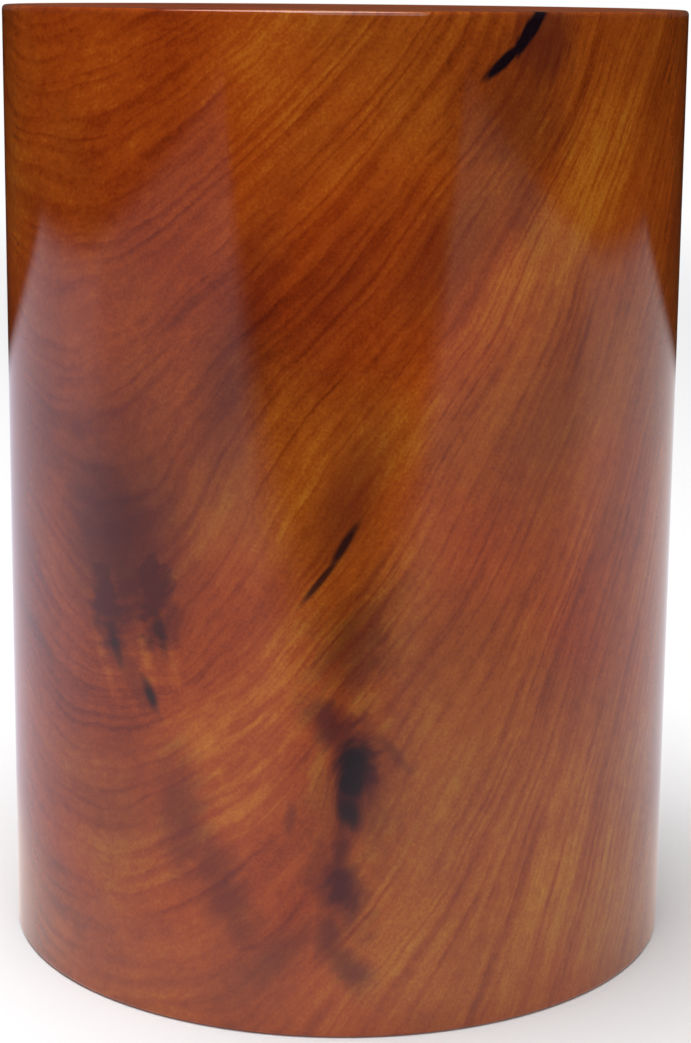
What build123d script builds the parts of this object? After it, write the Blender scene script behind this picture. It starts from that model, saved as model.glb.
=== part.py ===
from build123d import *

import os

# A turned wooden tea caddy. The body and its full-width lid are parted from one block, so that the
# figure of the wood runs on across the joint. A separate sleeve, glued into the body's mouth, carries
# the lid and the inner lid, and a small turned knob lifts the inner lid.
#
# Millimetres. +Z is up, the axis of every turned piece is Z, and the origin is the centre of the base.

# The closed caddy
OUTER_DIAMETER = 82.0
TOTAL_HEIGHT = 114.0
LID_HEIGHT = 38.0  # from the joint to the top face
WALL = 5.0  # body wall below the sleeve, and lid wall above its bore
FLOOR = 5.5  # solid wood between the tea and the foot recess
TOP_ARRIS = 0.5  # rounding of the lid's top edge
BASE_ARRIS = 0.5  # rounding of the body's bottom edge
JOINT_ARRIS = 0.04  # easing on each side of the joint, which leaves a hairline
INSIDE_COVE = 2.5  # rounding where an inner wall meets the floor or the ceiling

# Foot
FOOT_RING_WIDTH = 6.5
FOOT_RECESS_DEPTH = 1.2

# Sleeve
SLEEVE_WALL = 2.0
SLEEVE_BEDDED = 16.0  # length glued into the body
SLEEVE_PROUD = 20.0  # length that stands above the joint
SLEEVE_LEAD = 0.6  # chamfer that guides the lid on

# Lid
LID_SLIDE_CLEARANCE = 0.06  # radial, between the lid's bore and the sleeve
LID_CEILING = 4.5  # wood over the inner lid's knob
LID_BORE_OVERRUN = 2.0  # bore depth past the rim of the inner lid

# Inner lid
RIM_THICKNESS = 2.6  # the rim rests on the sleeve's end
RIM_GAP = 0.35  # radial, between the rim and the lid's bore
PLUG_DEPTH = 5.5  # below the rim
PLUG_CLEARANCE = 0.08  # radial, between the plug and the sleeve
STOPPER_ARRIS = 0.8  # rounding of the rim's and the plug's outer edges
DISH_DEPTH = 0.8  # the dished top, inside the rim
DISH_RADIUS = 32.0
HOLLOW_DEPTH = 2.2  # the hollow under the plug
HOLLOW_RADIUS = 30.0

# Knob
KNOB_HEIGHT = 8.6  # above the dished top
KNOB_CROWN_RADIUS = 10.0  # curvature of the domed top
KNOB_CROWN_SPREAD = 32.0  # degrees of that curve on each side of the axis
KNOB_HEAD_HEIGHT = 4.9  # from the neck to the top
KNOB_NECK_RADIUS = 4.1
KNOB_WAIST_RADIUS = 3.8
KNOB_FOOT_RADIUS = 5.2
TENON_RADIUS = 2.5
TENON_LENGTH = 3.2

# Worked out from the sizes above
outer_radius = OUTER_DIAMETER / 2
bore_radius = outer_radius - WALL
sleeve_radius = bore_radius + SLEEVE_WALL
lid_bore_radius = sleeve_radius + LID_SLIDE_CLEARANCE
rim_radius = lid_bore_radius - RIM_GAP
plug_radius = bore_radius - PLUG_CLEARANCE
floor_z = FOOT_RECESS_DEPTH + FLOOR
joint_z = TOTAL_HEIGHT - LID_HEIGHT
rebate_z = joint_z - SLEEVE_BEDDED
sleeve_top_z = joint_z + SLEEVE_PROUD
plug_z = sleeve_top_z - PLUG_DEPTH
rim_top_z = sleeve_top_z + RIM_THICKNESS
dish_z = rim_top_z - DISH_DEPTH
tenon_z = dish_z - TENON_LENGTH
lid_bore_top_z = rim_top_z + LID_BORE_OVERRUN
ceiling_z = TOTAL_HEIGHT - LID_CEILING


def disc(radius, low, high):
    """A turned disc about Z between two heights."""
    return Pos(0, 0, low) * Cylinder(radius, high - low, align=(Align.CENTER, Align.CENTER, Align.MIN))


def turned_edges(solid, radius, height):
    """The circular edges of a turned solid at one radius and height."""
    tolerance = 1e-4
    circles = solid.edges().filter_by(GeomType.CIRCLE)
    at_height = circles.filter_by(lambda edge: abs(edge.arc_center.Z - height) < tolerance)
    return at_height.filter_by(lambda edge: abs(edge.radius - radius) < tolerance)


def body_shell():
    """The lower cup, with a rebate for the sleeve in its mouth and a shallow recess under its foot."""
    cup = disc(outer_radius, 0, joint_z)
    cup -= disc(bore_radius, floor_z, joint_z)
    cup -= disc(sleeve_radius, rebate_z, joint_z)
    cup -= disc(outer_radius - FOOT_RING_WIDTH, 0, FOOT_RECESS_DEPTH)
    cup = fillet(turned_edges(cup, outer_radius, 0), BASE_ARRIS)
    cup = fillet(turned_edges(cup, bore_radius, floor_z), INSIDE_COVE)
    return chamfer(turned_edges(cup, outer_radius, joint_z), JOINT_ARRIS)


def neck_sleeve():
    """The plain ring bedded in the body's mouth, over which the lid slides."""
    ring = disc(sleeve_radius, rebate_z, sleeve_top_z) - disc(bore_radius, rebate_z, sleeve_top_z)
    return chamfer(turned_edges(ring, sleeve_radius, sleeve_top_z), SLEEVE_LEAD)


def lid_shell():
    """The full-width lid, bored to slide over the sleeve and hollowed above it to clear the knob."""
    cap = disc(outer_radius, joint_z, TOTAL_HEIGHT)
    cap -= disc(lid_bore_radius, joint_z, lid_bore_top_z)
    cap -= disc(bore_radius, lid_bore_top_z, ceiling_z)
    cap = fillet(turned_edges(cap, outer_radius, TOTAL_HEIGHT), TOP_ARRIS)
    cap = fillet(turned_edges(cap, bore_radius, ceiling_z), INSIDE_COVE)
    return chamfer(turned_edges(cap, outer_radius, joint_z), JOINT_ARRIS)


def inner_lid():
    """The stopper: a rim on the sleeve's end, a plug inside it, and a blind socket for the knob."""
    stopper = disc(rim_radius, sleeve_top_z, rim_top_z) + disc(plug_radius, plug_z, sleeve_top_z)
    stopper -= disc(DISH_RADIUS, dish_z, rim_top_z)
    stopper -= disc(HOLLOW_RADIUS, plug_z, plug_z + HOLLOW_DEPTH)
    stopper -= disc(TENON_RADIUS, tenon_z, dish_z)
    outer_edges = turned_edges(stopper, rim_radius, rim_top_z) + turned_edges(stopper, plug_radius, plug_z)
    return fillet(outer_edges, STOPPER_ARRIS)


def inner_lid_knob():
    """The knob: a tenon, a waisted stem and a domed head with a rounded edge, turned in one piece."""
    top_z = dish_z + KNOB_HEIGHT
    crown = CenterArc((0, top_z - KNOB_CROWN_RADIUS), KNOB_CROWN_RADIUS, 90, -KNOB_CROWN_SPREAD)
    neck = (KNOB_NECK_RADIUS, top_z - KNOB_HEAD_HEIGHT)
    head_edge = TangentArc(crown @ 1, neck, tangent=crown % 1)
    foot = (KNOB_FOOT_RADIUS, dish_z)
    stem = ThreePointArc(foot, (KNOB_WAIST_RADIUS, (foot[1] + neck[1]) / 2), neck)
    tenon = Polyline((0, top_z), (0, tenon_z), (TENON_RADIUS, tenon_z), (TENON_RADIUS, dish_z), foot)
    return revolve(Plane.XZ * make_face(tenon + stem + head_edge + crown), Axis.Z)


os.makedirs("parts", exist_ok=True)
for maker in (body_shell, neck_sleeve, lid_shell, inner_lid, inner_lid_knob):
    export_step(maker(), f"parts/{maker.__name__}.step")
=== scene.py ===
import math

import bmesh
import bpy
from mathutils import Euler, Matrix, Vector


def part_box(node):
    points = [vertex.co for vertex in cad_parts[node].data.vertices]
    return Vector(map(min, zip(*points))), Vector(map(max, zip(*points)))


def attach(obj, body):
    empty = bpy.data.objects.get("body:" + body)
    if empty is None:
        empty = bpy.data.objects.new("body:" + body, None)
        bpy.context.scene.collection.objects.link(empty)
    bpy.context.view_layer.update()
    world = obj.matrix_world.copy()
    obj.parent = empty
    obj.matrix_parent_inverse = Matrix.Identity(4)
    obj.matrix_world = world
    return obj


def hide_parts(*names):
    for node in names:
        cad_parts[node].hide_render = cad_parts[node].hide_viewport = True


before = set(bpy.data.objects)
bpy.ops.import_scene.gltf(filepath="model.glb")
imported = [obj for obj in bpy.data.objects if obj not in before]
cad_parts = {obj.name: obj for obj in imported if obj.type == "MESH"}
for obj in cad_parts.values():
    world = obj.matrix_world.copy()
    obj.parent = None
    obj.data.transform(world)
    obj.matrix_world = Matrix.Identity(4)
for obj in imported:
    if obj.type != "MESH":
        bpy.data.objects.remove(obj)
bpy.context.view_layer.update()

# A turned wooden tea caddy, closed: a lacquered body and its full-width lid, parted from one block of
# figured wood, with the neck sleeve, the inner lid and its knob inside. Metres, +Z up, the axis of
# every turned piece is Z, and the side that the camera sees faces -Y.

MM = 0.001

# ---------------------------------------------------------------------------------------------
# Sizes, from the frame where it has them
# ---------------------------------------------------------------------------------------------
body_low, body_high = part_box("body_shell")
sleeve_low, sleeve_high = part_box("neck_sleeve")
lid_low, lid_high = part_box("lid_shell")
stopper_low, stopper_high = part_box("inner_lid")
knob_low, knob_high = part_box("inner_lid_knob")

OUTER_RADIUS = body_high.x
SLEEVE_RADIUS = sleeve_high.x
RIM_RADIUS = stopper_high.x
JOINT_Z = body_high.z
REBATE_Z = sleeve_low.z
SLEEVE_TOP_Z = sleeve_high.z
PLUG_Z = stopper_low.z
RIM_TOP_Z = stopper_high.z
TOP_Z = lid_high.z

SLEEVE_WALL = 2.0 * MM
BORE_RADIUS = SLEEVE_RADIUS - SLEEVE_WALL
FOOT_RING_WIDTH = 6.5 * MM
FOOT_RADIUS = OUTER_RADIUS - FOOT_RING_WIDTH
FOOT_RECESS_Z = 1.2 * MM
FLOOR_THICKNESS = 5.5 * MM
FLOOR_Z = FOOT_RECESS_Z + FLOOR_THICKNESS
LID_THICKNESS = 4.5 * MM
CEILING_Z = TOP_Z - LID_THICKNESS
RUNNING_CLEARANCE = 0.06 * MM
LID_BORE_RADIUS = SLEEVE_RADIUS + RUNNING_CLEARANCE
GAP_OVER_STOPPER = 2.0 * MM
LID_BORE_TOP_Z = RIM_TOP_Z + GAP_OVER_STOPPER
PLUG_CLEARANCE = 0.08 * MM
PLUG_RADIUS = BORE_RADIUS - PLUG_CLEARANCE
DISH_RADIUS = 32.0 * MM
DISH_DEPTH = 0.8 * MM
DISH_Z = RIM_TOP_Z - DISH_DEPTH
HOLLOW_RADIUS = 30.0 * MM
HOLLOW_DEPTH = 2.2 * MM
HOLLOW_Z = PLUG_Z + HOLLOW_DEPTH

# Roundings: the radius of each kind of edge
TOP_ARRIS = 0.5 * MM
BASE_ARRIS = 0.5 * MM
JOINT_ARRIS = 0.01 * MM
INSIDE_COVE = 2.5 * MM
SOFT_EDGE = 0.6 * MM
FINE_EDGE = 0.2 * MM

# How finely a piece is turned
FACETS = 288
ARRIS_STEPS = 7
LONGEST_RUN = 3.0 * MM
CLEAR_OF_ARRIS = 1.3  # how far from a corner its neighbour stands, in roundings of that corner
RAIL_RADIUS = 1.0 * MM
WELD_DISTANCE = 0.002 * MM


# ---------------------------------------------------------------------------------------------
# Wiring: a few words for building node trees
# ---------------------------------------------------------------------------------------------
class Wiring:
    """Adds nodes to one tree. A value given for an input is linked if it is a socket, or set."""

    def __init__(self, tree):
        self.tree = tree

    def feed(self, socket, value):
        if isinstance(value, bpy.types.NodeSocket):
            self.tree.links.new(value, socket)
        else:
            socket.default_value = value

    def node(self, kind, inputs=None, **settings):
        made = self.tree.nodes.new(kind)
        for name, value in settings.items():
            setattr(made, name, value)
        for key, value in (inputs or {}).items():
            self.feed(made.inputs[key], value)
        return made

    def math(self, operation, *values):
        made = self.node("ShaderNodeMath", operation=operation)
        for socket, value in zip(made.inputs, values):
            self.feed(socket, value)
        return made.outputs[0]

    def vector(self, operation, first, second=None):
        made = self.node("ShaderNodeVectorMath", {0: first}, operation=operation)
        if second is not None:
            self.feed(made.inputs["Scale" if operation == "SCALE" else 1], second)
        is_number = operation in ("DOT_PRODUCT", "LENGTH", "DISTANCE")
        return made.outputs["Value" if is_number else "Vector"]

    def combine(self, x, y, z):
        return self.node("ShaderNodeCombineXYZ", {0: x, 1: y, 2: z}).outputs[0]

    def noise(self, vector, scale, detail=2.0, roughness=0.5, output="Fac"):
        inputs = {"Vector": vector, "Scale": scale, "Detail": detail, "Roughness": roughness}
        return self.node("ShaderNodeTexNoise", inputs).outputs[output]

    def noise_along(self, value, scale, detail=1.0):
        inputs = {"W": value, "Scale": scale, "Detail": detail, "Roughness": 0.5}
        return self.node("ShaderNodeTexNoise", inputs, noise_dimensions="1D").outputs["Fac"]

    def swing(self, vector, scale):
        """Slow noise in three directions, from -0.5 to 0.5 in each."""
        colour = self.noise(vector, scale, detail=1.0, output="Color")
        return self.vector("SUBTRACT", colour, (0.5, 0.5, 0.5))

    def fade(self, value, start, end, low=0.0, high=1.0):
        """A smooth step of value: low before start, high after end."""
        inputs = {"Value": value, 1: start, 2: end, 3: low, 4: high}
        return self.node("ShaderNodeMapRange", inputs, interpolation_type="SMOOTHSTEP").outputs[0]

    def mix(self, share, first, second, blend="MIX"):
        made = self.node("ShaderNodeMix", {0: share, 6: first, 7: second}, data_type="RGBA")
        made.blend_type = blend
        return made.outputs[2]

    def ramp(self, value, stops):
        """A colour for value from (place, colour) stops."""
        made = self.node("ShaderNodeValToRGB", {0: value})
        elements = made.color_ramp.elements
        while len(elements) < len(stops):
            elements.new(0.5)
        for element, (place, colour) in zip(elements, stops):
            element.position = place
            element.color = (*colour, 1.0)
        return made.outputs["Color"]

    def group(self, group_tree, **inputs):
        """The outputs of a node group, with its inputs given by name: ring_width is "Ring width"."""
        made = self.node("ShaderNodeGroup", node_tree=group_tree)
        for name, value in inputs.items():
            self.feed(made.inputs[name.replace("_", " ").capitalize()], value)
        return made.outputs


def new_group(name, kind, inputs, outputs):
    """An empty node group with named sockets, its Wiring, its inputs and its output node."""
    tree = bpy.data.node_groups.new(name, kind)
    for socket_name, socket_kind, default in inputs:
        socket = tree.interface.new_socket(socket_name, in_out="INPUT", socket_type=socket_kind)
        if default is not None:
            socket.default_value = default
    for socket_name, socket_kind in outputs:
        tree.interface.new_socket(socket_name, in_out="OUTPUT", socket_type=socket_kind)
    wiring = Wiring(tree)
    given = wiring.node("NodeGroupInput").outputs
    result = wiring.node("NodeGroupOutput").inputs
    return tree, wiring, given, result


# ---------------------------------------------------------------------------------------------
# Turning: an outline, swept round the axis
# ---------------------------------------------------------------------------------------------
def turning_tree():
    """Geometry nodes that round the corners of an outline in XZ and sweep it round Z."""
    tree, wire, given, result = new_group(
        "Turn on the lathe",
        "GeometryNodeTree",
        [
            ("Outline", "NodeSocketGeometry", None),
            ("Facets", "NodeSocketInt", FACETS),
            ("Arris steps", "NodeSocketInt", ARRIS_STEPS),
            ("Rail radius", "NodeSocketFloat", RAIL_RADIUS),
            ("Finish", "NodeSocketMaterial", None),
        ],
        [("Piece", "NodeSocketGeometry")],
    )
    outline = wire.node("GeometryNodeMeshToCurve", {"Mesh": given["Outline"]})
    arris = wire.node("GeometryNodeInputNamedAttribute", {"Name": "arris"}, data_type="FLOAT")
    rounded = wire.node(
        "GeometryNodeFilletCurve",
        {"Curve": outline.outputs[0], "Count": given["Arris steps"], "Radius": arris.outputs[0]},
        mode="POLY",
    )
    inward = wire.combine(wire.math("MULTIPLY", given["Rail radius"], -1.0), 0.0, 0.0)
    laid_flat = wire.node(
        "GeometryNodeTransform",
        {"Geometry": rounded.outputs[0], "Translation": inward, "Rotation": (math.pi / 2, 0, 0)},
    )
    rail = wire.node(
        "GeometryNodeCurvePrimitiveCircle",
        {"Resolution": given["Facets"], "Radius": given["Rail radius"]},
        mode="RADIUS",
    )
    swept = wire.node(
        "GeometryNodeCurveToMesh",
        {"Curve": rail.outputs[0], "Profile Curve": laid_flat.outputs[0]},
    )
    closed = wire.node("GeometryNodeMergeByDistance", {0: swept.outputs[0], "Distance": WELD_DISTANCE})
    smooth = wire.node("GeometryNodeSetShadeSmooth", {0: closed.outputs[0], "Shade Smooth": True})
    real = wire.node("GeometryNodeRealizeInstances", {0: smooth.outputs[0]})
    finished = wire.node(
        "GeometryNodeSetMaterial", {"Geometry": real.outputs[0], "Material": given["Finish"]}
    )
    wire.feed(result["Piece"], finished.outputs[0])
    return tree


def divided(corners, closed):
    """The corners, with a point beside each rounded one and more along the long runs."""
    points = []
    last = len(corners) if closed else len(corners) - 1
    for index in range(last):
        start_r, start_z, start_arris = corners[index]
        end_r, end_z, end_arris = corners[(index + 1) % len(corners)]
        length = math.hypot(end_r - start_r, end_z - start_z)
        first = start_arris * CLEAR_OF_ARRIS
        final = length - end_arris * CLEAR_OF_ARRIS
        points.append(corners[index])
        if final <= first:
            continue
        runs = max(1, math.ceil((final - first) / LONGEST_RUN))
        for step in range(runs + 1):
            share = (first + (final - first) * step / runs) / length
            if 0.0 < share < 1.0:
                radius = start_r + (end_r - start_r) * share
                height = start_z + (end_z - start_z) * share
                points.append((radius, height, 0.0))
    if not closed:
        points.append(corners[-1])
    return points


def outline_mesh(name, points, closed):
    """The outline as a chain of edges in the XZ plane, with each point's rounding as an attribute."""
    chain = [(index, index + 1) for index in range(len(points) - 1)]
    if closed:
        chain.append((len(points) - 1, 0))
    mesh = bpy.data.meshes.new(name)
    mesh.from_pydata([(radius, 0.0, height) for radius, height, arris in points], chain, [])
    roundings = mesh.attributes.new("arris", "FLOAT", "POINT")
    for item, (radius, height, arris) in zip(roundings.data, points):
        item.value = arris
    return mesh


def turned(name, corners, closed, finish, tree):
    """A turned piece from its corners (radius, height, arris), as a plain mesh."""
    lathe = bpy.data.objects.new(name, outline_mesh(name, divided(corners, closed), closed))
    bpy.context.scene.collection.objects.link(lathe)
    turning = lathe.modifiers.new("turning", "NODES")
    turning.node_group = tree
    sockets = {item.name: item.identifier for item in tree.interface.items_tree}
    turning[sockets["Facets"]] = FACETS
    turning[sockets["Arris steps"]] = ARRIS_STEPS
    turning[sockets["Rail radius"]] = RAIL_RADIUS
    turning[sockets["Finish"]] = finish
    evaluated = lathe.evaluated_get(bpy.context.evaluated_depsgraph_get())
    mesh = bpy.data.meshes.new_from_object(evaluated)
    lathe.modifiers.remove(turning)
    lathe.data = mesh
    face_outwards(mesh)
    return lathe


def face_outwards(mesh):
    """Turns every face of a closed mesh to look away from its inside."""
    work = bmesh.new()
    work.from_mesh(mesh)
    bmesh.ops.recalc_face_normals(work, faces=work.faces)
    work.to_mesh(mesh)
    work.free()


# ---------------------------------------------------------------------------------------------
# Outlines: (radius, height, rounding of that corner)
# ---------------------------------------------------------------------------------------------
def body_corners():
    return [
        (0.0, FOOT_RECESS_Z, 0.0),
        (FOOT_RADIUS, FOOT_RECESS_Z, SOFT_EDGE),
        (FOOT_RADIUS, 0.0, FINE_EDGE),
        (OUTER_RADIUS, 0.0, BASE_ARRIS),
        (OUTER_RADIUS, JOINT_Z, JOINT_ARRIS),
        (SLEEVE_RADIUS, JOINT_Z, JOINT_ARRIS),
        (SLEEVE_RADIUS, REBATE_Z, 0.0),
        (BORE_RADIUS, REBATE_Z, 0.0),
        (BORE_RADIUS, FLOOR_Z, INSIDE_COVE),
        (0.0, FLOOR_Z, 0.0),
    ]


def sleeve_corners():
    return [
        (BORE_RADIUS, REBATE_Z, FINE_EDGE),
        (SLEEVE_RADIUS, REBATE_Z, FINE_EDGE),
        (SLEEVE_RADIUS, SLEEVE_TOP_Z, SOFT_EDGE),
        (BORE_RADIUS, SLEEVE_TOP_Z, FINE_EDGE),
    ]


def lid_corners():
    return [
        (0.0, CEILING_Z, 0.0),
        (BORE_RADIUS, CEILING_Z, INSIDE_COVE),
        (BORE_RADIUS, LID_BORE_TOP_Z, FINE_EDGE),
        (LID_BORE_RADIUS, LID_BORE_TOP_Z, FINE_EDGE),
        (LID_BORE_RADIUS, JOINT_Z, FINE_EDGE),
        (OUTER_RADIUS, JOINT_Z, JOINT_ARRIS),
        (OUTER_RADIUS, TOP_Z, TOP_ARRIS),
        (0.0, TOP_Z, 0.0),
    ]


def stopper_corners():
    return [
        (0.0, HOLLOW_Z, 0.0),
        (HOLLOW_RADIUS, HOLLOW_Z, SOFT_EDGE),
        (HOLLOW_RADIUS, PLUG_Z, SOFT_EDGE),
        (PLUG_RADIUS, PLUG_Z, SOFT_EDGE),
        (PLUG_RADIUS, SLEEVE_TOP_Z, FINE_EDGE),
        (RIM_RADIUS, SLEEVE_TOP_Z, FINE_EDGE),
        (RIM_RADIUS, RIM_TOP_Z, SOFT_EDGE),
        (DISH_RADIUS, RIM_TOP_Z, FINE_EDGE),
        (DISH_RADIUS, DISH_Z, FINE_EDGE),
        (0.0, DISH_Z, 0.0),
    ]


def knob_corners():
    """The knob's outline: tenon, waisted stem, rounded edge and domed crown."""
    tenon_radius = 2.5 * MM
    foot_radius = 5.2 * MM
    waist_radius = 3.8 * MM
    neck = Vector((4.1 * MM, knob_high.z - 4.9 * MM))
    crown_radius = 10.0 * MM
    crown_spread = math.radians(32.0)
    steps = 10

    crown_centre = Vector((0.0, knob_high.z - crown_radius))
    to_crown_end = Vector((math.sin(crown_spread), math.cos(crown_spread)))
    crown_end = crown_centre + crown_radius * to_crown_end
    chord = crown_end - neck
    edge_radius = chord.length_squared / (2.0 * to_crown_end.dot(chord))
    edge_centre = crown_end - edge_radius * to_crown_end
    neck_angle = math.atan2(neck.x - edge_centre.x, neck.y - edge_centre.y)

    profile = [(0.0, knob_low.z), (tenon_radius, knob_low.z), (tenon_radius, DISH_Z)]
    for step in range(steps):
        share = step / steps
        flare = (2.0 * share - 1.0) ** 2
        end_radius = foot_radius if share < 0.5 else neck.x
        radius = waist_radius + (end_radius - waist_radius) * flare
        profile.append((radius, DISH_Z + (neck.y - DISH_Z) * share))
    for step in range(steps + 1):
        angle = neck_angle + (crown_spread - neck_angle) * step / steps
        edge = edge_centre + edge_radius * Vector((math.sin(angle), math.cos(angle)))
        profile.append((edge.x, edge.y))
    for step in range(1, steps + 1):
        angle = crown_spread * (1.0 - step / steps)
        crown = crown_centre + crown_radius * Vector((math.sin(angle), math.cos(angle)))
        profile.append((crown.x, crown.y))
    return [(radius, height, 0.0) for radius, height in profile]


# ---------------------------------------------------------------------------------------------
# Timber: the figure of the wood, worked out in the solid block in millimetres
# ---------------------------------------------------------------------------------------------
ACROSS_RINGS = Vector((-0.70, -0.48, 0.535)).normalized()  # the way the tree grew outwards here
ALONG_FIBRES = Vector((0.61, 0.0, 0.79)).normalized()
ROUND_RINGS = ACROSS_RINGS.cross(ALONG_FIBRES)
PITH_DISTANCE = 120.0  # from the block's centre to the heart of the tree
BLOCK_CENTRE = Vector((0.0, 0.0, 57.0))
WAVES = [
    # how close together the waves in the grain are, and how far they push it
    (0.022, 8.0),
    (0.08, 1.5),
]
FIBRE_JITTER = 0.25
MARK_RAGGEDNESS = 1.8
SMOOTH_MARK_SHARE = 0.3  # of the raggedness, for the marks with smooth edges


def on_wall(bearing, height):
    """The place in the block at a bearing from the front, in degrees to the right, and a height."""
    angle = math.radians(bearing)
    radius = OUTER_RADIUS / MM
    return Vector((radius * math.sin(angle), -radius * math.cos(angle), height))


def lens_group():
    """A lens or patch in the block: 1 inside, fading to 0 past its edge, which roughness breaks."""
    tree, wire, given, result = new_group(
        "Lens",
        "ShaderNodeTree",
        [
            ("Place", "NodeSocketVector", None),
            ("Centre", "NodeSocketVector", None),
            ("Turn", "NodeSocketVector", None),
            ("Radii", "NodeSocketVector", (1, 1, 1)),
            ("Softness", "NodeSocketFloat", 0.3),
            ("Roughening", "NodeSocketFloat", 0.0),
            ("Strength", "NodeSocketFloat", 1.0),
        ],
        [("Mask", "NodeSocketFloat")],
    )
    local = wire.node(
        "ShaderNodeMapping",
        {
            "Vector": given["Place"],
            "Location": given["Centre"],
            "Rotation": given["Turn"],
            "Scale": given["Radii"],
        },
        vector_type="TEXTURE",
    )
    reach = wire.math("ADD", wire.vector("LENGTH", local.outputs[0]), given["Roughening"])
    inner = wire.math("SUBTRACT", 1.0, given["Softness"])
    outer = wire.math("ADD", 1.0, given["Softness"])
    mask = wire.fade(reach, inner, outer, 1.0, 0.0)
    wire.feed(result["Mask"], wire.math("MULTIPLY", mask, given["Strength"]))
    return tree


# Each mark: bearing and height on the wall, how far it leans clockwise (degrees), its half width,
# depth and half length (mm), the softness of its edge, and its strength.
BENDS = [
    # where the grain sags, or rises if below 0; the strength is how far, in millimetres
    (-32.0, 51.0, 0.0, (10.0, 14.0, 11.0), 1.0, 4.8),
    (-25.5, 43.5, 0.0, (2.6, 6.0, 3.4), 1.0, 3.4),
    (31.0, 104.0, 0.0, (8.0, 12.0, 9.0), 1.0, 5.0),
    (2.0, 31.0, 0.0, (2.8, 5.0, 3.8), 1.0, -4.0),
]
SHADES = [
    # broad and dark, with smooth edges
    (-37.5, 55.5, 0.0, (8.5, 7.0, 10.5), 0.9, 0.90),
    (-41.0, 68.0, 15.0, (9.0, 7.0, 8.0), 0.9, 0.40),
    (35.0, 68.0, 20.0, (5.0, 8.0, 12.0), 0.9, 0.35),
    (16.0, 89.0, 35.0, (4.0, 6.0, 9.0), 0.9, 0.50),
    (-1.0, 84.0, 35.0, (4.0, 6.0, 9.0), 0.9, 0.30),
    (-16.0, 77.0, 12.0, (3.5, 6.0, 15.0), 0.9, 0.50),
    (-60.0, 66.0, 8.0, (9.0, 8.0, 20.0), 0.9, 0.40),
    (1.5, 62.0, 22.0, (3.0, 4.0, 8.0), 0.9, 0.55),
    (7.0, 38.0, 25.0, (6.0, 6.0, 14.0), 0.9, 0.25),
    (18.0, 28.0, 25.0, (5.0, 6.0, 9.0), 0.9, 0.15),
    (-42.0, 26.0, -20.0, (9.0, 7.0, 9.0), 0.9, 0.22),
    (-38.0, 92.0, 20.0, (14.0, 8.0, 16.0), 0.9, 0.10),
]
STAINS = [
    # smaller and darker, with edges drawn out along the fibres
    (-40.0, 48.5, -12.0, (3.2, 5.0, 6.5), 0.6, 0.95),
    (-30.5, 50.0, -6.0, (3.0, 5.0, 6.0), 0.6, 0.95),
    (-35.5, 50.5, 0.0, (5.5, 5.0, 6.0), 0.8, 0.90),
    (-34.5, 40.5, -25.0, (1.2, 4.0, 4.0), 0.8, 0.50),
    (27.0, 103.0, 15.0, (5.5, 7.0, 7.0), 0.9, 0.55),
    (31.0, 110.0, 20.0, (3.6, 6.0, 5.0), 0.7, 0.75),
    (27.5, 95.0, -10.0, (3.0, 6.0, 5.0), 0.8, 0.40),
    (2.5, 45.5, 15.0, (4.2, 5.0, 7.0), 0.9, 0.75),
    (-0.8, 36.6, -32.0, (2.6, 3.5, 4.0), 0.9, 0.90),
    (2.6, 30.5, 0.0, (3.1, 4.0, 6.4), 0.7, 1.00),
    (3.0, 30.0, 0.0, (5.0, 5.0, 8.0), 0.9, 0.60),
    (8.2, 33.8, -38.0, (0.8, 3.0, 3.4), 0.9, 0.60),
    (0.3, 22.0, 5.0, (1.4, 3.0, 4.5), 0.9, 0.85),
    (0.2, 18.0, -18.0, (2.4, 4.0, 5.0), 0.9, 1.00),
    (-1.2, 12.6, 5.0, (1.5, 3.0, 3.0), 0.9, 0.75),
    (1.8, 8.6, -35.0, (1.6, 3.0, 3.4), 0.9, 0.70),
    (-7.4, 26.0, 5.0, (0.6, 2.0, 1.8), 0.9, 0.55),
    (-11.0, 9.0, 48.0, (2.0, 4.0, 6.5), 0.9, 0.50),
    (-25.5, 25.0, -8.0, (2.8, 5.0, 6.5), 0.9, 0.60),
    (-17.5, 16.0, -25.0, (2.6, 5.0, 8.0), 0.9, 0.55),
]
PITCH = [
    # nearly black: resin streaks and the hearts of the knots
    (-2.8, 53.4, 37.0, (0.38, 1.2, 3.4), 0.50, 0.85),
    (0.4, 57.0, 31.0, (0.50, 1.2, 3.0), 0.50, 0.9),
    (24.2, 108.9, 50.0, (0.60, 2.0, 3.2), 0.40, 1.0),
    (28.6, 112.2, 36.0, (0.80, 2.5, 3.9), 0.30, 1.0),
    (2.3, 32.4, 0.0, (1.8, 3.0, 2.4), 0.65, 1.0),
    (2.0, 30.6, 0.0, (1.5, 3.0, 2.2), 0.50, 1.0),
    (1.7, 26.9, -25.0, (1.2, 2.5, 1.9), 0.80, 0.9),
    (-37.9, 42.8, -22.0, (0.60, 2.0, 2.6), 0.80, 0.6),
    (-31.1, 38.4, -25.0, (0.70, 2.0, 1.9), 0.70, 0.9),
    (-29.0, 45.5, -15.0, (0.60, 2.0, 2.0), 0.90, 0.6),
]
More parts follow.
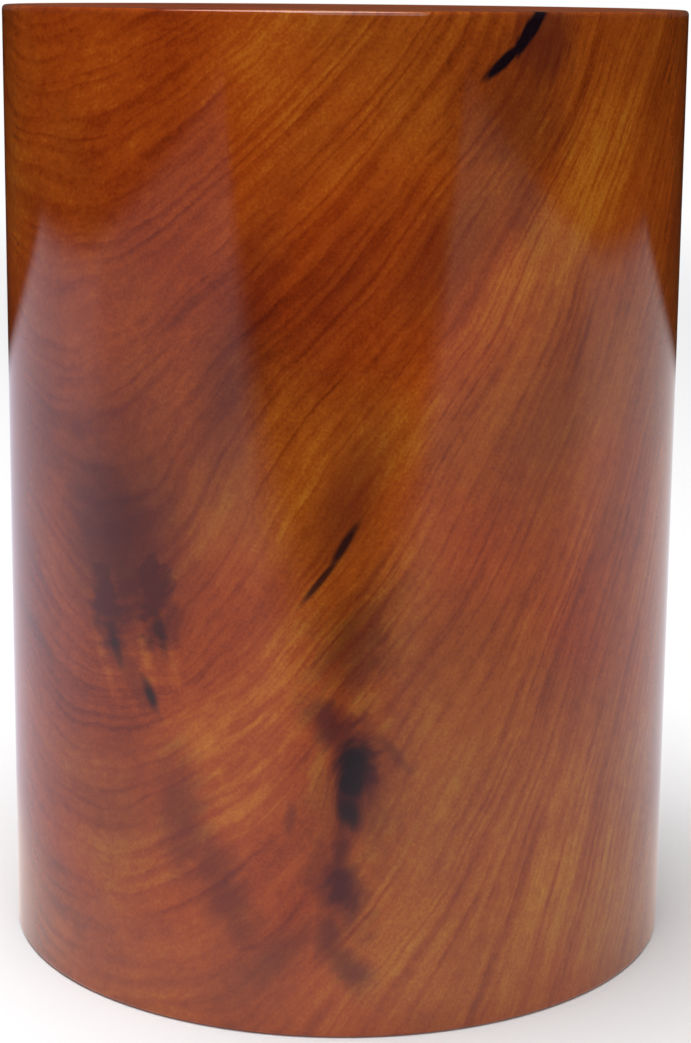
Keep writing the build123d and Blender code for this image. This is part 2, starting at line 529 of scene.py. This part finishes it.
GLOWS = [
    # lighter and more golden than the wood around them
    (-13.0, 37.0, 35.0, (5.0, 5.0, 11.0), 0.9, 1.3),
    (3.6, 39.6, 60.0, (1.1, 2.0, 1.9), 0.9, 1.0),
    (6.2, 36.8, 45.0, (0.7, 2.0, 1.4), 0.9, 1.0),
    (-32.2, 43.5, -15.0, (0.7, 2.0, 3.4), 0.9, 1.1),
    (-40.5, 41.0, -25.0, (0.6, 2.0, 4.0), 0.9, 1.0),
    (-26.6, 42.0, -12.0, (0.7, 2.0, 2.6), 0.9, 0.8),
    (-23.0, 36.0, 50.0, (2.6, 5.0, 6.0), 0.9, 1.0),
    (-3.0, 31.0, 5.0, (1.2, 3.0, 5.2), 0.9, 1.4),
    (-14.0, 27.0, 45.0, (4.0, 5.0, 7.0), 0.9, 0.9),
    (9.0, 70.0, 35.0, (3.5, 6.0, 8.0), 0.9, 0.7),
    (-38.0, 106.0, 25.0, (6.0, 6.0, 8.0), 0.9, 0.6),
    (25.0, 84.0, 40.0, (3.0, 6.0, 12.0), 0.9, 0.6),
    (43.0, 97.0, 25.0, (4.0, 6.0, 9.0), 0.9, 0.5),
    (-14.0, 109.5, 40.0, (6.0, 6.0, 7.0), 0.9, 0.6),
    (38.0, 34.0, 25.0, (9.0, 7.0, 18.0), 0.9, 0.4),
    (64.0, 42.0, 15.0, (9.0, 7.0, 28.0), 0.9, 0.7),
    (-22.0, 9.0, 45.0, (12.0, 8.0, 12.0), 0.9, 0.4),
    (8.0, 6.0, 40.0, (12.0, 8.0, 14.0), 0.9, 0.5),
    (34.0, 9.0, 25.0, (14.0, 8.0, 15.0), 0.9, 0.5),
]


def placed_marks(wire, lens, place, roughening, marks, join="MAXIMUM"):
    """Several lenses placed on the wall, taking the strongest at each point, or their sum."""
    joined = None
    for bearing, height, lean, radii, softness, strength in marks:
        mask = wire.group(
            lens,
            place=place,
            centre=on_wall(bearing, height),
            turn=(0.0, math.radians(lean), math.radians(bearing)),
            radii=radii,
            softness=softness,
            roughening=roughening,
            strength=strength,
        )["Mask"]
        joined = mask if joined is None else wire.math(join, joined, mask)
    return joined


def figure_group(lens):
    """The block's figure: its growth rings, where they bend, and its dark and light marks."""
    tree, wire, given, result = new_group(
        "Figure of the block",
        "ShaderNodeTree",
        [("Place", "NodeSocketVector", None)],
        [
            ("Growth", "NodeSocketFloat"),
            ("Fibre place", "NodeSocketVector"),
            ("Stain", "NodeSocketFloat"),
            ("Pitch", "NodeSocketFloat"),
            ("Glow", "NodeSocketFloat"),
        ],
    )
    place = given["Place"]
    sag = placed_marks(wire, lens, place, 0.0, BENDS, join="ADD")
    bent = wire.vector("ADD", place, wire.combine(0.0, 0.0, sag))
    for closeness, push in WAVES:
        bent = wire.vector("ADD", bent, wire.vector("SCALE", wire.swing(place, closeness), push))
    centred = wire.vector("SUBTRACT", bent, BLOCK_CENTRE)
    across = wire.vector("DOT_PRODUCT", centred, ACROSS_RINGS)
    around = wire.vector("DOT_PRODUCT", centred, ROUND_RINGS)
    along = wire.vector("DOT_PRODUCT", centred, ALONG_FIBRES)
    from_pith = wire.combine(wire.math("ADD", across, PITH_DISTANCE), around, 0.0)
    growth = wire.math("SUBTRACT", wire.vector("LENGTH", from_pith), PITH_DISTANCE)
    fine = wire.math("SUBTRACT", wire.noise(place, 0.7, detail=2.0), 0.5)
    growth = wire.math("MULTIPLY_ADD", fine, FIBRE_JITTER, growth)
    fibre_place = wire.combine(growth, around, along)
    drawn_out = wire.vector("MULTIPLY", fibre_place, (1.0, 0.4, 0.25))
    ragged = wire.math("SUBTRACT", wire.noise(drawn_out, 1.0, detail=3.0, roughness=0.6), 0.5)
    ragged = wire.math("MULTIPLY", ragged, MARK_RAGGEDNESS)
    smooth = wire.math("MULTIPLY", ragged, SMOOTH_MARK_SHARE)
    shades = placed_marks(wire, lens, place, smooth, SHADES)
    stains = placed_marks(wire, lens, place, ragged, STAINS)
    wire.feed(result["Growth"], growth)
    wire.feed(result["Fibre place"], fibre_place)
    wire.feed(result["Stain"], wire.math("MAXIMUM", shades, stains))
    wire.feed(result["Pitch"], placed_marks(wire, lens, place, smooth, PITCH))
    wire.feed(result["Glow"], placed_marks(wire, lens, place, ragged, GLOWS))
    return tree


# Colours of the wood from its darkest tone to its lightest: tone, colour
TIMBER_TONES = [
    (0.00, (0.030, 0.005, 0.003)),
    (0.20, (0.120, 0.013, 0.002)),
    (0.40, (0.235, 0.030, 0.003)),
    (0.58, (0.335, 0.056, 0.005)),
    (0.78, (0.440, 0.120, 0.010)),
    (1.00, (0.600, 0.240, 0.030)),
]
SLEEVE_TONES = [
    (0.10, (0.150, 0.055, 0.018)),
    (0.45, (0.290, 0.125, 0.042)),
    (0.65, (0.380, 0.185, 0.068)),
    (1.00, (0.500, 0.280, 0.120)),
]
STAIN_COLOUR = (0.062, 0.007, 0.006, 1.0)
PITCH_COLOUR = (0.007, 0.003, 0.005, 1.0)
GOLDEN_TINT = (0.92, 1.4, 1.5, 1.0)
GOLDEN_SHARE = 0.7
GOLDEN_LEAN = 0.0024  # how much more golden the wood gets for each millimetre to the right
GLOW_LIFT = 0.22  # how much lighter the glowing marks are

TOP_FACE_LACQUER = 0.45
SEALER = 0.25
TOOL_MARK_CLOSENESS = 2.2
TOOL_MARK_DEPTH = 0.04 * MM

# Light and dark in the wood
MIDDLE_TONE = 0.50
RING_WANDER = 2.5
LATE_WOOD = -0.12
BANDS = (0.09, 0.22)  # how close together, and how strongly they lighten
STREAKS = [
    # how close together across, round and along the rings, and how strongly they lighten
    ((0.30, 0.05, 0.02), 0.28),
    ((1.0, 0.14, 0.06), 0.22),
    ((3.2, 0.9, 0.35), 0.22),
]
CLOUDS = [
    # how close together, and how strongly they lighten
    (0.035, 0.45),
    (0.6, 0.16),
    (3.0, 0.30),
]


def tone_group():
    """Light and dark in the wood: rings, broad bands, long streaks, fibres and soft clouds."""
    tree, wire, given, result = new_group(
        "Light and dark of the wood",
        "ShaderNodeTree",
        [
            ("Place", "NodeSocketVector", None),
            ("Growth", "NodeSocketFloat", 0.0),
            ("Fibre place", "NodeSocketVector", None),
            ("Ring width", "NodeSocketFloat", 1.3),
        ],
        [("Tone", "NodeSocketFloat")],
    )
    place, growth, fibre_place = given["Place"], given["Growth"], given["Fibre place"]
    wander = wire.noise_along(growth, 0.3, detail=2.0)
    straight = wire.math("DIVIDE", growth, given["Ring width"])
    year = wire.math("MULTIPLY_ADD", wander, RING_WANDER, straight)
    season = wire.math("FRACT", year)
    late_wood = wire.math("MULTIPLY", wire.fade(season, 0.35, 0.80), wire.fade(season, 1.0, 0.85))
    patchy = wire.noise(wire.vector("MULTIPLY", fibre_place, (0.5, 0.10, 0.05)), 1.0, detail=1.0)
    late_wood = wire.math("MULTIPLY", late_wood, wire.fade(patchy, 0.40, 0.65, 0.25, 1.0))
    parts = [(wire.noise_along(growth, BANDS[0]), BANDS[1])]
    for closeness, weight in STREAKS:
        parts.append((wire.noise(wire.vector("MULTIPLY", fibre_place, closeness), 1.0), weight))
    for closeness, weight in CLOUDS:
        parts.append((wire.noise(place, closeness), weight))
    tone = MIDDLE_TONE
    for noise, weight in parts:
        tone = wire.math("MULTIPLY_ADD", wire.math("SUBTRACT", noise, 0.5), weight, tone)
    wire.feed(result["Tone"], wire.math("MULTIPLY_ADD", late_wood, LATE_WOOD, tone))
    return tree


def tool_marks_group():
    """Fine rings left by the turning tool down the walls and across the faces, as a height."""
    tree, wire, given, result = new_group(
        "Turning tool marks",
        "ShaderNodeTree",
        [("Place", "NodeSocketVector", None)],
        [("Height", "NodeSocketFloat")],
    )
    apart = wire.node("ShaderNodeSeparateXYZ", {0: given["Place"]})
    radius = wire.vector("LENGTH", wire.vector("MULTIPLY", given["Place"], (1.0, 1.0, 0.0)))
    down_the_wall = wire.noise_along(apart.outputs["Z"], TOOL_MARK_CLOSENESS, detail=2.0)
    across_the_face = wire.noise_along(radius, TOOL_MARK_CLOSENESS, detail=2.0)
    wire.feed(result["Height"], wire.math("ADD", down_the_wall, across_the_face))
    return tree


def new_finish(name):
    """A material, its Wiring, the place in the block in millimetres, and its Principled shader."""
    material = bpy.data.materials.new(name)
    material.use_nodes = True
    material.node_tree.nodes.clear()
    wire = Wiring(material.node_tree)
    shader = wire.node("ShaderNodeBsdfPrincipled")
    wire.node("ShaderNodeOutputMaterial", {"Surface": shader.outputs[0]})
    coordinates = wire.node("ShaderNodeTexCoord")
    place = wire.vector("SCALE", coordinates.outputs["Object"], 1.0 / MM)
    return material, wire, place, shader


def lacquered_figured_wood(figure, tones, tool_marks):
    """The shells' finish: figured orange-brown wood, under thick clear gloss lacquer on the wall,
    with less gloss on the flat top, and thinly sealed inside, under the foot and at the joint."""
    material, wire, place, shader = new_finish("lacquered_figured_wood")
    block = wire.group(figure, place=place)
    growth = block["Growth"]
    fibre_place = block["Fibre place"]
    tone = wire.group(tones, place=place, growth=growth, fibre_place=fibre_place)["Tone"]
    drawn_out = wire.vector("MULTIPLY", fibre_place, (1.3, 0.2, 0.08))
    streaked = wire.noise(drawn_out, 1.0, detail=1.0)
    glow = wire.math("MULTIPLY", block["Glow"], wire.fade(streaked, 0.38, 0.60, 0.45, 1.0))
    tone = wire.math("MULTIPLY_ADD", glow, GLOW_LIFT, tone)
    colour = wire.ramp(tone, TIMBER_TONES)
    apart = wire.node("ShaderNodeSeparateXYZ", {0: place})
    patches = wire.math("MULTIPLY_ADD", apart.outputs["X"], GOLDEN_LEAN, wire.noise(place, 0.03))
    golden = wire.fade(patches, 0.42, 0.66, 0.0, GOLDEN_SHARE)
    colour = wire.mix(golden, colour, wire.mix(1.0, colour, GOLDEN_TINT, blend="MULTIPLY"))
    colour = wire.mix(block["Stain"], colour, STAIN_COLOUR)
    colour = wire.mix(block["Pitch"], colour, PITCH_COLOUR)

    radius = wire.vector("LENGTH", wire.vector("MULTIPLY", place, (1.0, 1.0, 0.0)))
    wall, top = OUTER_RADIUS / MM, TOP_Z / MM
    on_wall_face = wire.fade(radius, wall - 1.0, wall - 0.6)
    on_top_face = wire.fade(apart.outputs["Z"], top - 0.02, top - 0.01, 0.0, TOP_FACE_LACQUER)
    lacquer = wire.math("MAXIMUM", on_wall_face, on_top_face)
    wire.feed(shader.inputs["Base Color"], colour)
    wire.feed(shader.inputs["Coat Weight"], wire.fade(lacquer, 0.0, 1.0, SEALER, 1.0))
    marks = wire.group(tool_marks, place=place)["Height"]
    marks = wire.math("MULTIPLY", marks, wire.math("SUBTRACT", 1.0, lacquer))
    bump = wire.node(
        "ShaderNodeBump", {"Strength": 0.25, "Distance": TOOL_MARK_DEPTH, "Height": marks}
    )
    wire.feed(shader.inputs["Normal"], bump.outputs[0])
    shader.inputs["Roughness"].default_value = 0.5
    shader.inputs["Specular IOR Level"].default_value = 0.0
    shader.inputs["Coat Roughness"].default_value = 0.06
    shader.inputs["Coat IOR"].default_value = 1.5
    return material


def satin_turned_wood(name, tones, tool_marks, stops, across, along, ring_width, lacquer):
    """A straight-grained wood, turned, with a thin satin lacquer. Across and along are its grain."""
    material, wire, place, shader = new_finish(name)
    across = Vector(across).normalized()
    along = Vector(along).normalized()
    bent = wire.vector("ADD", place, wire.vector("SCALE", wire.swing(place, 0.02), 7.0))
    growth = wire.vector("DOT_PRODUCT", bent, across)
    around = wire.vector("DOT_PRODUCT", bent, across.cross(along))
    fibre_place = wire.combine(growth, around, wire.vector("DOT_PRODUCT", bent, along))
    tone = wire.group(
        tones, place=place, growth=growth, fibre_place=fibre_place, ring_width=ring_width
    )["Tone"]
    wire.feed(shader.inputs["Base Color"], wire.ramp(tone, stops))
    marks = wire.group(tool_marks, place=place)["Height"]
    bump = wire.node(
        "ShaderNodeBump", {"Strength": 0.2, "Distance": TOOL_MARK_DEPTH, "Height": marks}
    )
    wire.feed(shader.inputs["Normal"], bump.outputs[0])
    shader.inputs["Roughness"].default_value = 0.48
    shader.inputs["Specular IOR Level"].default_value = 0.35
    shader.inputs["Coat Weight"].default_value = lacquer
    shader.inputs["Coat Roughness"].default_value = 0.22
    return material


# ---------------------------------------------------------------------------------------------
# The pieces
# ---------------------------------------------------------------------------------------------
def make_pieces():
    tree = turning_tree()
    figure = figure_group(lens_group())
    tones = tone_group()
    tool_marks = tool_marks_group()
    figured = lacquered_figured_wood(figure, tones, tool_marks)
    plain_woods = [
        # name, tones, across the rings, along the fibres, ring width, how strong the lacquer is
        ("satin_sleeve_wood", SLEEVE_TONES, (1.0, 0.35, 0.0), (0.0, 0.05, 1.0), 1.1, 0.15),
        ("satin_disc_wood", TIMBER_TONES, (0.9, 0.0, 0.35), (0.1, 1.0, 0.0), 1.5, 0.3),
        ("satin_knob_wood", TIMBER_TONES, (0.8, 0.6, 0.1), (0.0, -0.1, 1.0), 0.9, 0.4),
    ]
    sleeve_wood, disc_wood, knob_wood = [
        satin_turned_wood(name, tones, tool_marks, *settings) for name, *settings in plain_woods
    ]
    pieces = [
        # name, corners, is the outline closed, finish, CAD node, body, slot
        ("caddy_body", body_corners(), False, figured, "body_shell", "caddy", "figured_wood"),
        ("caddy_neck", sleeve_corners(), True, sleeve_wood, "neck_sleeve", "caddy", "sleeve_wood"),
        ("caddy_lid", lid_corners(), False, figured, "lid_shell", "lid", "figured_wood"),
        ("stopper_disc", stopper_corners(), False, disc_wood, "inner_lid", "stopper", "stopper_wood"),
        ("stopper_knob", knob_corners(), False, knob_wood, "inner_lid_knob", "stopper", "stopper_wood"),
    ]
    for name, corners, closed, finish, node, body, slot in pieces:
        piece = turned(name, corners, closed, finish, tree)
        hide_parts(node)
        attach(piece, body)


# ---------------------------------------------------------------------------------------------
# Stage: floor, light and camera
# ---------------------------------------------------------------------------------------------
# The sheet that the polished wood sees on the floor, with its light and shade painted in, in metres.
# Each pair is where an edge of it starts to fade and where the fading ends.
SHEET_SIDES = (0.68, 0.92)
SHEET_FLARE = 0.45  # how much wider each side gets for every metre towards the viewer
SHEET_BACK = (0.38, 0.47)
WEDGE_POINT_Y = -0.113
WEDGE_SPREAD = 0.86  # its half width for every metre towards the viewer
WEDGE_EDGE = (-0.08, 0.10)
# painted shade on the sheet in front of the caddy, a little stronger to the right than to the left
FRONT_SHADE_LEFT = 0.34
FRONT_SHADE_RIGHT = 0.42
# colours of the lit sheet, painted for reflections only: bluish to the left, greyer to the right
SHEET_LEFT_COLOUR = (0.76, 0.73, 0.86, 1.0)
SHEET_RIGHT_COLOUR = (0.78, 0.77, 0.80, 1.0)
# painted shade: the sheet's duller colour in front, near the caddy
SHEET_FRONT_SHADE_COLOUR = (0.78, 0.68, 0.76, 1.0)
# painted light: brighter than white next to the foot, so that the foot's own shadow on the floor
# doesn't darken its reflection
SHEET_FOOT_PAINTED_LIGHT_COLOUR = (1.10, 1.02, 1.00, 1.0)
# painted dark: in reflections the floor past the sheet is dark, though to the eye it is pale
BEYOND_SHEET_COLOUR = (0.02, 0.012, 0.008, 1.0)


def painted_floor_in_reflections(wire, spot):
    """The colour polished wood sees in the floor, with its light and shade painted in: a pale sheet
    with a soft edge to each side and behind, painted dark beyond it, painted shade that makes it dimmer
    in front, painted light at the foot, and a dark wedge in front that is the viewer's own painted
    shadow."""
    apart = wire.node("ShaderNodeSeparateXYZ", {0: spot})
    x = apart.outputs["X"]
    y = apart.outputs["Y"]
    side = wire.math("ABSOLUTE", x)
    outside = wire.math("MULTIPLY_ADD", wire.math("MINIMUM", y, 0.0), SHEET_FLARE, side)
    outside = wire.fade(outside, *SHEET_SIDES)
    behind = wire.fade(y, *SHEET_BACK)
    wedge = wire.math("MULTIPLY", wire.math("SUBTRACT", y, WEDGE_POINT_Y), -WEDGE_SPREAD)
    wedge = wire.fade(wire.math("SUBTRACT", wedge, side), *WEDGE_EDGE)
    distance = wire.vector("LENGTH", spot)
    # painted shade on the sheet in front of the caddy and close to it
    painted_front_shade = wire.fade(x, -0.1, 0.12, FRONT_SHADE_LEFT, FRONT_SHADE_RIGHT)
    painted_front_shade = wire.math("MULTIPLY", painted_front_shade, wire.fade(y, 0.02, -0.12))
    painted_front_shade = wire.math("MULTIPLY", painted_front_shade, wire.fade(distance, 0.07, 0.21))
    # where the sheet gives way to painted dark: past its edges, and the painted shadow and shade in
    # front
    dark_share = outside
    for part in (behind, wedge, painted_front_shade):
        dark_share = wire.math("MAXIMUM", dark_share, part)
    sheet = wire.mix(wire.fade(x, -0.2, 0.2), SHEET_LEFT_COLOUR, SHEET_RIGHT_COLOUR)
    # painted shade: the sheet turns to its duller colour in front, near the caddy
    front_shade_share = wire.math("MULTIPLY", wire.fade(distance, 0.30, 0.08), wire.fade(y, 0.02, -0.03))
    sheet = wire.mix(front_shade_share, sheet, SHEET_FRONT_SHADE_COLOUR)
    # painted light at the foot, in place of the shadow there
    sheet = wire.mix(wire.fade(distance, 0.080, 0.045), sheet, SHEET_FOOT_PAINTED_LIGHT_COLOUR)
    return wire.mix(dark_share, sheet, BEYOND_SHEET_COLOUR)


FLOOR_REACH = 12.0
FLOOR_DROP = 0.02 * MM
FLOOR_COLOUR = (0.86, 0.86, 0.87, 1.0)
FLOOR_TO_WHITE = (0.30, 1.0)  # the distances from the foot where it starts to whiten, and is white
WHITE = (1.0, 1.0, 1.0, 1.0)


def make_floor():
    """A pale floor, just clear of the foot, that fades to white with distance."""
    signs = [(-1, -1), (1, -1), (1, 1), (-1, 1)]
    corners = [(x * FLOOR_REACH, y * FLOOR_REACH, -FLOOR_DROP) for x, y in signs]
    mesh = bpy.data.meshes.new("floor")
    mesh.from_pydata(corners, [], [(0, 1, 2, 3)])
    floor = bpy.data.objects.new("floor", mesh)
    bpy.context.scene.collection.objects.link(floor)

    material = bpy.data.materials.new("pale_floor")
    material.use_nodes = True
    material.node_tree.nodes.clear()
    wire = Wiring(material.node_tree)
    spot = wire.node("ShaderNodeTexCoord").outputs["Object"]
    light_path = wire.node("ShaderNodeLightPath")
    is_glossy = light_path.outputs["Is Glossy Ray"]
    # glossy rays see the floor with its painted light and shade instead of the plain floor colour
    colour = wire.mix(is_glossy, FLOOR_COLOUR, painted_floor_in_reflections(wire, spot))
    surface = wire.node("ShaderNodeBsdfDiffuse", {"Color": colour})
    white = wire.node("ShaderNodeEmission", {"Color": WHITE, "Strength": 1.0})
    distant = wire.fade(wire.vector("LENGTH", spot), *FLOOR_TO_WHITE)
    distant = wire.math("MULTIPLY", distant, light_path.outputs["Is Camera Ray"])
    seen = wire.node("ShaderNodeMixShader", {0: distant, 1: surface.outputs[0], 2: white.outputs[0]})
    wire.node("ShaderNodeOutputMaterial", {"Surface": seen.outputs[0]})
    mesh.materials.append(material)


def make_surroundings():
    """White to the eye, softly bright to matt surfaces and dim in mirror-like reflections."""
    world = bpy.data.worlds.new("studio")
    world.use_nodes = True
    world.node_tree.nodes.clear()
    wire = Wiring(world.node_tree)
    light_path = wire.node("ShaderNodeLightPath")
    soft = wire.node("ShaderNodeBackground", {"Color": WHITE, "Strength": 0.30})
    dim = wire.node("ShaderNodeBackground", {"Color": (1.0, 0.97, 0.93, 1.0), "Strength": 0.05})
    backdrop = wire.node("ShaderNodeBackground", {"Color": WHITE, "Strength": 1.0})
    is_glossy = light_path.outputs["Is Glossy Ray"]
    lit = wire.node("ShaderNodeMixShader", {0: is_glossy, 1: soft.outputs[0], 2: dim.outputs[0]})
    is_camera = light_path.outputs["Is Camera Ray"]
    seen = wire.node("ShaderNodeMixShader", {0: is_camera, 1: lit.outputs[0], 2: backdrop.outputs[0]})
    wire.node("ShaderNodeOutputWorld", {"Surface": seen.outputs[0]})
    bpy.context.scene.world = world


LIGHTS = [
    # name, place, width, height, watts
    ("overhead", (-0.16, -0.09, 1.2), 0.95, 0.75, 15.0),
    ("front", (0.2, -1.4, 0.9), 1.0, 1.0, 5.5),
]


def make_lights():
    """Soft rectangular lights, each aimed at the middle of the caddy."""
    middle = Vector((0.0, 0.0, TOP_Z / 2))
    for name, place, width, height, watts in LIGHTS:
        light = bpy.data.lights.new(name, "AREA")
        light.shape = "RECTANGLE"
        light.size = width
        light.size_y = height
        light.energy = watts
        lamp = bpy.data.objects.new(name, light)
        lamp.location = place
        lamp.rotation_euler = (middle - Vector(place)).to_track_quat("-Z", "Y").to_euler()
        bpy.context.scene.collection.objects.link(lamp)


LENS = 80.9
SENSOR_WIDTH = 36.0
SHIFT_UP = -0.0686
CAMERA_DISTANCE = 0.2874  # in front of the caddy's axis
CAMERA_ABOVE_TOP = 2.68 * MM
CAMERA_PITCH = 11.24  # degrees, looking down
CAMERA_YAW = -0.1
CAMERA_ROLL = 0.54


def make_camera():
    """Almost level with the top face, looking slightly down."""
    camera = bpy.data.cameras.new("camera")
    camera.lens = LENS
    camera.sensor_width = SENSOR_WIDTH
    camera.shift_y = SHIFT_UP
    holder = bpy.data.objects.new("camera", camera)
    bpy.context.scene.collection.objects.link(holder)
    aim = (math.radians(90.0 - CAMERA_PITCH), 0.0, math.radians(CAMERA_YAW))
    look = Euler(aim).to_matrix()
    roll = Matrix.Rotation(math.radians(CAMERA_ROLL), 3, "Z")
    place = Matrix.Translation((0.0, -CAMERA_DISTANCE, TOP_Z + CAMERA_ABOVE_TOP))
    holder.matrix_world = place @ (look @ roll).to_4x4()
    bpy.context.scene.camera = holder
    bpy.context.scene.view_settings.view_transform = "Standard"


make_pieces()
make_floor()
make_surroundings()
make_lights()
make_camera()
